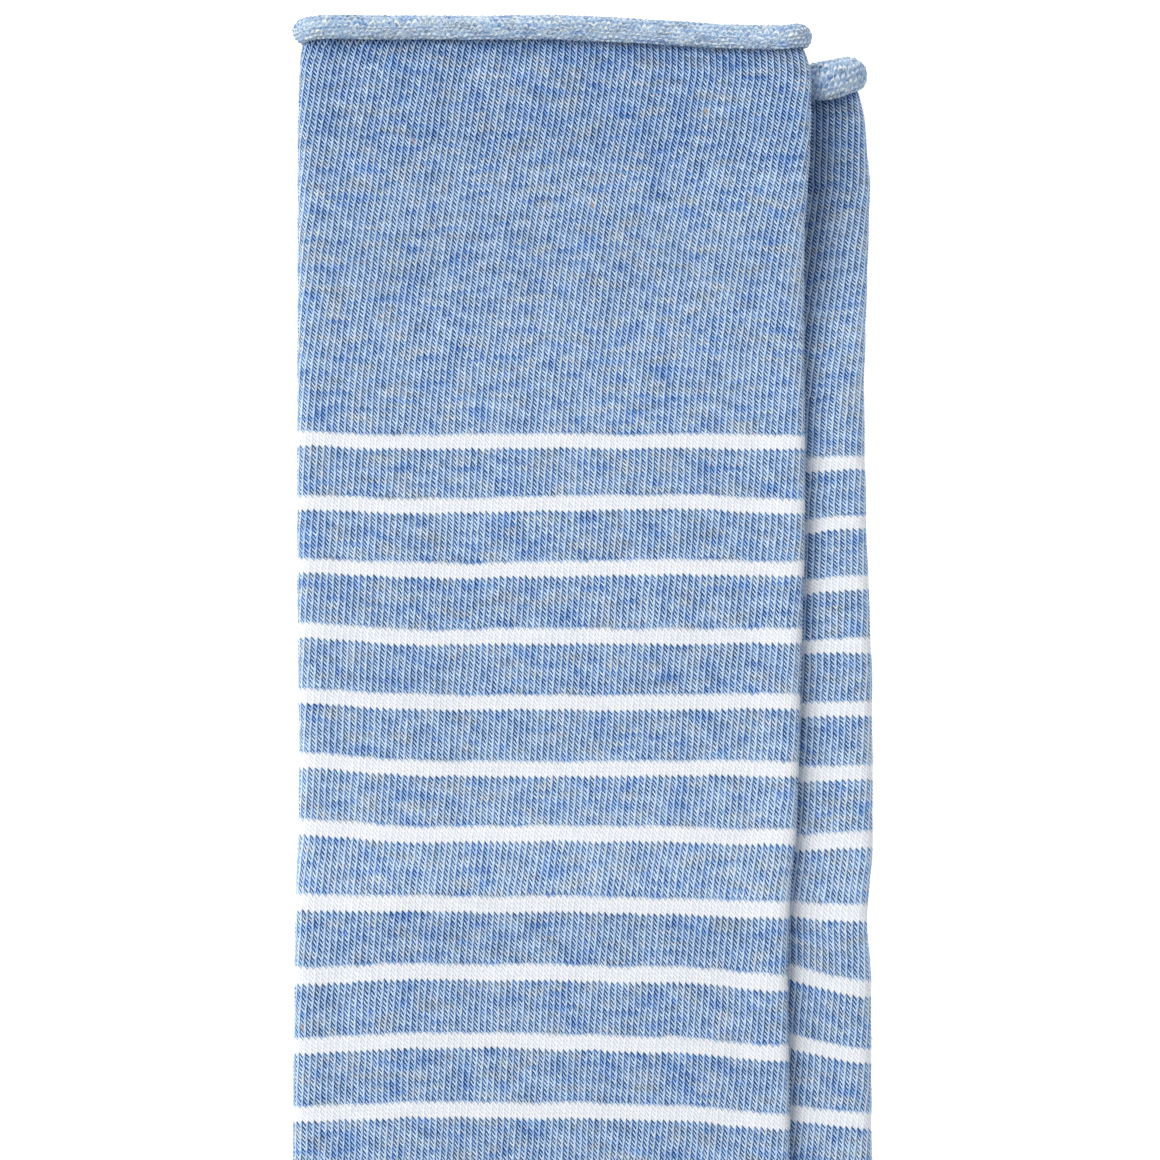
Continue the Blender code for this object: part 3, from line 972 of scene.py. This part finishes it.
def per_stitch(wale, course, seed):
    """A number from 0 to 1 that is drawn anew for each stitch."""
    place = wale.node("ShaderNodeCombineXYZ", {}, {0: wale.floor(), 1: course.floor(), 2: seed})
    return wale.node("ShaderNodeTexWhiteNoise", {"noise_dimensions": "3D"}, {"Vector": place})


def yarn_noise(wale, number, length, seed):
    """Noise that drifts along a course over so many wales, and is another on each course."""
    return soft_noise(wale / length, number * COURSES_APART, seed)


def cloud(wale, course, size, seed):
    """Soft noise over the cloth, its size in wales."""
    return soft_noise(wale / size, course * (COURSE_SHARE / size), seed)


def streaky(wale, course, seed):
    """Soft noise whose patches are several wales wide and two or three courses high."""
    return soft_noise(wale / 6.0, course * 0.38, seed)


def masked(noise, threshold, strength):
    """From 0 to the strength, where the noise is above the threshold."""
    return ((noise - threshold) * 7).clamped() * strength


# The dark end is painted shade in the gaps between strands, the pale end partly a painted highlight on their
# crests
BLUE_STOPS = shades(
    (0.00, 24, 54, 106),
    (0.25, 84, 119, 170),
    (0.50, 137, 168, 208),
    (0.75, 178, 205, 237),
    (1.00, 222, 237, 253),
)
DEEP_STOPS = shades(
    (0.00, 12, 42, 110),
    (0.50, 70, 122, 200),
    (1.00, 158, 200, 248),
)
BEIGE_STOPS = shades(
    (0.00, 62, 76, 96),
    (0.50, 158, 173, 187),
    (1.00, 230, 233, 230),
)
PALE_STOPS = shades(
    (0.00, 64, 96, 146),
    (0.30, 147, 175, 209),
    (0.60, 191, 210, 228),
    (1.00, 234, 240, 242),
)
WHITE_STOPS = shades(
    (0.00, 210, 215, 228),
    (0.40, 237, 239, 244),
    (1.00, 249, 250, 253),
)
FLECK = linear(176, 148, 128)
print("the yarn has", len(BLUE_STOPS), "blues from the gaps between its strands to their crests")

# %% [markdown]
# ## The knit face
#
# A stitch on the face of jersey is a V. This cloth leans, so the two legs of the V differ: the left legs
# are short slanting strokes with dark gaps between them, and the right legs stand so steeply that they
# join into one pale line along the wale. The dark gaps are painted shade and the pale line is partly a
# painted highlight, in the colour as well as in the bump. Yarn is never quite even, so the wales sway a
# little, the courses wander, and each stitch is a bit paler or deeper than the next. At a stripe's edge
# each V pokes up into the other colour, so the edge is shifted by up to a tooth's height from the side of
# a stitch to its middle.

# %% The strokes of the face
LEFT_SHARE = 0.63  # of the wale's width, taken by the left legs
LEFT_DROP = 1.15  # courses that a left leg falls from one side to the other
RIGHT_RISE = 1.1  # courses that a right leg climbs
TOOTH = 0.75  # courses from the bottom of a stripe's tooth to its top
COURSE_WANDER = 1.2  # courses
WALE_SWAY = 0.4  # wales
STITCH_SLIDE = 0.8  # courses that a single stitch is out of line
STITCH_ASLANT = 0.22  # wales
STREAK, PATCH, FIBRE = 0.36, 0.36, 0.75  # what each kind of noise adds to the brightness
# Painted highlight along the folds, strongest at the right one
FOLD_HIGHLIGHT = 0.24
ROLL_SHADE_COURSES = 10  # below the roll, where its shade is painted on the cloth
FLECK_CHANCE = 0.0002
STRIPE_EDGE = 3  # how sharply white starts and ends
CLOTH_VALUES = {"Roughness": 0.92, "Specular IOR Level": 0.12, "Sheen Weight": 0.12, "Sheen Roughness": 0.5}


def cloth_shader(name):
    """A rough, faintly downy cloth, and its wale and course signals."""
    material, shader, start = new_shader(name, CLOTH_VALUES)
    place = start.node("ShaderNodeUVMap", {"uv_map": "UVMap"}, {})
    wale = place.node("ShaderNodeSeparateXYZ", {}, {"Vector": place}, output=0)
    course = place.node("ShaderNodeSeparateXYZ", {}, {"Vector": place}, output=1)
    return material, shader, wale, course


def finish_shader(shader, colour, height, strength, distance):
    links = shader.id_data.links
    links.new(colour.socket, shader.inputs["Base Color"])
    sockets = {"Height": height, "Strength": strength, "Distance": distance * MM}
    bump = height.node("ShaderNodeBump", {}, sockets)
    links.new(bump.socket, shader.inputs["Normal"])


def heather(wale, number, bright, stops, seed, deep_share, beige_share):
    """The yarn's colour: mid blue, with lengths of deep blue and of beige."""
    spread = streaky(wale, number, seed + 9) - 0.5
    deep = masked(yarn_noise(wale, number, 3.6, seed + 5) + spread * 0.75, 0.565, deep_share)
    beige = masked(yarn_noise(wale, number, 4.5, seed + 8) - spread * 0.85, 0.545, beige_share)
    blue = deep.colour(bright.ramp(stops), bright.ramp(DEEP_STOPS))
    return beige.colour(blue, bright.ramp(BEIGE_STOPS))


def knit_face(name, seed):
    material, shader, wale, course = cloth_shader(name)
    uneven = cloud(wale, course, 1.1, seed + 0.5) - 0.5
    course = course + (cloud(wale, course, 12.0, seed + 0.9) - 0.5) * COURSE_WANDER + uneven * STITCH_SLIDE
    wale = wale + (cloud(wale, course, 6.0, seed + 0.3) - 0.5) * WALE_SWAY
    across = (wale + 0.5 + uneven * STITCH_ASLANT + (course * (2 * math.pi)).cosine() * 0.03).fraction()
    right = across > LEFT_SHARE
    left_phase = course - across * (LEFT_DROP / LEFT_SHARE)
    right_phase = course - LEFT_DROP + (across - LEFT_SHARE) * (RIGHT_RISE / (1 - LEFT_SHARE))
    phase = right.pick(left_phase, right_phase)
    number = phase.floor()
    strand = phase.fraction().wave() ** 0.7
    left_round = (((across - 0.03) / 0.28).clamped() * 0.5).wave()
    right_round = ((across - LEFT_SHARE) / (1 - LEFT_SHARE)).wave() ** 0.8

    streak = yarn_noise(wale, number, 3.0, seed) - 0.5
    patch = streaky(wale, course, seed + 2) - 0.5
    chance = per_stitch(wale + 0.5, phase, seed)
    fibre = cloud(wale, course, 0.22, seed + 4) - 0.5
    # Painted highlight along the folds
    painted_highlight = wale.attribute("fold") * FOLD_HIGHLIGHT
    crisp = 0.3 + cloud(wale, course, 2.6, seed + 6) * 1.2
    # Painted shade in the gaps between strokes and a painted highlight along the right legs, on the yarn's
    # own tone
    left_bright = 0.15 + left_round * (0.35 + (strand - 0.6) * crisp * 1.4) + (chance - 0.5) * 0.26
    right_bright = 0.28 + strand * 0.34 + right_round * 0.42 + (chance - 0.5) * 0.16
    # Painted shade below the roll, and more faintly down to the fortieth course
    painted_roll_shade = (1 - (course / ROLL_SHADE_COURSES).clamped()) * 0.20 + (1 - ((course - 28) / 12).clamped()) * 0.09
    # Painted light: paler from the fifth stripe to the eighth
    painted_light_band = ((course - 172) / 40).clamped() * (1 - ((course - 217) / 5).clamped()) * 0.08
    drift = streak * STREAK + patch * PATCH + painted_highlight - painted_roll_shade + painted_light_band
    bright = right.pick(left_bright + drift, right_bright + drift) + fibre * FIBRE
    bright = bright.clamped()

    blue = heather(wale, number, bright, BLUE_STOPS, seed, right.pick(0.72, 0.45), 0.54)
    fleck = (chance > 1 - FLECK_CHANCE) * right.pick(0.7, 0.0)
    blue = fleck.colour(blue, FLECK)
    tooth = right.pick(across / LEFT_SHARE, (1 - across) / (1 - LEFT_SHARE)) * TOOTH
    level = course - tooth - FIRST_STRIPE + STRIPE_COURSES / 2
    striped = wale.attribute("striped")
    into = (level / STRIPE_REPEAT).fraction() * STRIPE_REPEAT
    stripe = (into * STRIPE_EDGE).clamped() * ((STRIPE_COURSES - into) * STRIPE_EDGE).clamped()
    stripe = stripe * (level > 0) * striped
    colour = stripe.colour(blue, bright.ramp(WHITE_STOPS))
    height = strand * 0.5 + right.pick(left_round * 0.3, 0.25 + right_round * 0.45) + fibre * 0.3
    finish_shader(shader, colour, height, 0.6, 0.18)
    return material


front_face = knit_face("heather_knit_front", 1.0)
back_face = knit_face("heather_knit_back", 31.0)
print("the knit face has", len(front_face.node_tree.nodes), "nodes")

# %% [markdown]
# ## The back of the knit, on the rolls
#
# The roll shows the purl side: no Vs, only the tops and bottoms of the loops, small crescents in
# staggered rows. The yarn is the same. It looks paler, because the loose loops scatter the light.

# %% Crescents of the purl side
PURL_SWAY, PURL_ASLANT = 1.2, 1.8  # wales and courses that a crescent is out of line
PURL_STREAK, PURL_PATCH, PURL_FIBRE = 0.5, 0.3, 1.1


def purl_side(name, seed):
    material, shader, wale, course = cloth_shader(name)
    uneven = cloud(wale, course, 0.9, seed + 0.5) - 0.5
    aslant = cloud(wale, course, 1.4, seed + 0.7) - 0.5
    wale = wale + uneven * PURL_SWAY
    course = course + aslant * PURL_ASLANT
    crescents = None
    for shift in (0, 1):
        aside = (wale + shift / 2).fraction() - 0.5
        phase = (course + shift - aside * aside * 4 * PURL_SWING) / 2
        line = (1 - ((phase.fraction() - 0.5) * PURL_THIN) ** 2).at_least(0.0)
        chance = per_stitch(wale + shift / 2, phase, shift)
        crescent = line * (1 - aside * aside * PURL_BOW) * (0.4 + chance * 0.8)
        crescents = crescent if crescents is None else crescents.at_least(crescent)
    number = course.floor()
    streak = yarn_noise(wale, number, 2.6, seed) - 0.5
    patch = streaky(wale, course, seed + 2) - 0.5
    fibre = cloud(wale, course, 0.3, seed + 4) - 0.5
    drift = streak * PURL_STREAK + patch * PURL_PATCH + fibre * PURL_FIBRE
    # The crescents are drawn paler and the gaps between them darker, partly as painted highlight and painted
    # shade
    bright = (0.34 + crescents * 0.72 + drift).clamped()
    colour = heather(wale, number, bright, PALE_STOPS, seed, 0.35, 0.5)
    finish_shader(shader, colour, crescents + fibre * 0.6, 0.8, 0.2)
    return material


front_purl = purl_side("heather_purl_front", 5.0)
back_purl = purl_side("heather_purl_back", 47.0)
print("the purl side has", len(front_purl.node_tree.nodes), "nodes")

# %% [markdown]
# ## The loose fibres' finish
#
# The fibres are the same yarn, teased out. Each is thinner than a pixel, so no strokes are drawn on it: its
# colour alone drifts from blue to beige from place to place, by noise on the Object coordinates.

# %% The fibres' own finish
FIBRE_VALUES = {"Roughness": 0.9, "Specular IOR Level": 0.1}
fibre_face, fibre_shader, start = new_shader("heather_fibre", FIBRE_VALUES)
place = start.node("ShaderNodeTexCoord", {}, {}, output="Object")
spots = place.node("ShaderNodeTexNoise", {}, {"Vector": place, "Scale": 900.0, "Detail": 1.0})
FIBRE_STOPS = shades(
    (0.3, 116, 150, 200),
    (0.5, 164, 190, 222),
    (0.7, 212, 216, 214),
)
fibre_colour = spots.ramp(FIBRE_STOPS)
fibre_face.node_tree.links.new(fibre_colour.socket, fibre_shader.inputs["Base Color"])
print("the fibres' finish has", len(fibre_face.node_tree.nodes), "nodes")

# %% [markdown]
# ## Dressing the frame
#
# Each cloth rides on the one body that the part has, and hides the CAD solid whose place it takes.
# Each roll goes with its tube, because it is the end of the same cloth.

for tube, roll, face, purl, sock in (
    (front_tube, front_roll, front_face, front_purl, FRONT),
    (back_tube, back_roll, back_face, back_purl, BACK),
):
    paint(tube, face)
    paint(roll, purl)
    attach(tube, "root")
    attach(roll, "root")
    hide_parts(sock.name + "_sock")
    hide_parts(sock.name + "_rolled_edge")

for fibres in (front_fibres, back_fibres):
    paint(fibres, fibre_face)
    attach(fibres, "root")

# %% [markdown]
# ## Table, light and camera
#
# The pair is photographed from straight above on white. The table is a plain pale plane. A wide soft light
# stands up and to the left, so each fold throws a short soft shadow down and to the right, and a bright even
# sky fills the rest. The camera has a long lens, so the legs keep parallel sides, and it looks at the
# legs alone: the feet lie below the picture.

# %% The table
bpy.ops.object.select_all(action="DESELECT")
bpy.ops.mesh.primitive_plane_add(size=6, location=(0, 0, -0.0002))
table = bpy.context.object
table.name = "table"
TABLE_VALUES = {
    "Base Color": (0.93, 0.93, 0.93, 1),
    "Roughness": 0.9,
    "Emission Color": (1, 1, 1, 1),
    "Emission Strength": 0.72,
}
paint(table, new_shader("table_white", TABLE_VALUES)[0])
print("the table is", round(table.dimensions.x, 1), "m wide")

# %% The sky
scene = bpy.context.scene
scene.view_settings.view_transform = "Standard"
world = bpy.data.worlds.new("soft_sky")
world.use_nodes = True
sky = world.node_tree.nodes["Background"]
sky.inputs["Color"].default_value = (0.94, 0.99, 1.06, 1)
sky.inputs["Strength"].default_value = 0.43
scene.world = world

# %% The camera
PIXEL = 0.1608  # millimetres of the sock in one pixel of the picture
PICTURE = 1160  # pixels
LAYOUT_X_PIXEL = 555.0  # the pixel column of x = 0 in the layout
LAYOUT_Y_PIXEL = 14.0  # the pixel row of y = 0
LENS, SENSOR = 500.0, 36.0
SUBJECT_HEIGHT = 10.0  # the level of the cloth that the scale is set for

to_middle = np.array([PICTURE / 2 - LAYOUT_X_PIXEL, LAYOUT_Y_PIXEL - PICTURE / 2, 0])
middle = to_middle * PIXEL * MM + SHIFT
distance = PICTURE * PIXEL * MM * LENS / SENSOR
camera_data = bpy.data.cameras.new("camera")
camera_data.lens = LENS
camera_data.sensor_width = SENSOR
camera_data.clip_start, camera_data.clip_end = 0.05, 20
camera = bpy.data.objects.new("camera", camera_data)
scene.collection.objects.link(camera)
camera.location = (middle[0], middle[1], distance + SUBJECT_HEIGHT * MM)
scene.camera = camera
print("the camera is", round(distance, 3), "m above the cloth")

# %% The lamp
lamp = bpy.data.lights.new("key", "AREA")
lamp.size = 1.1
lamp.energy = 23
lamp.color = (1.0, 0.98, 0.93)
light = bpy.data.objects.new("key", lamp)
scene.collection.objects.link(light)
light.location = (middle[0] - 0.75, middle[1] + 0.5, 1.3)
legs = camera.location.copy()
legs.z = 0
light.rotation_euler = (legs - light.location).to_track_quat("-Z", "Y").to_euler()
print("the lamp is", round((legs - light.location).length, 2), "m from the legs")
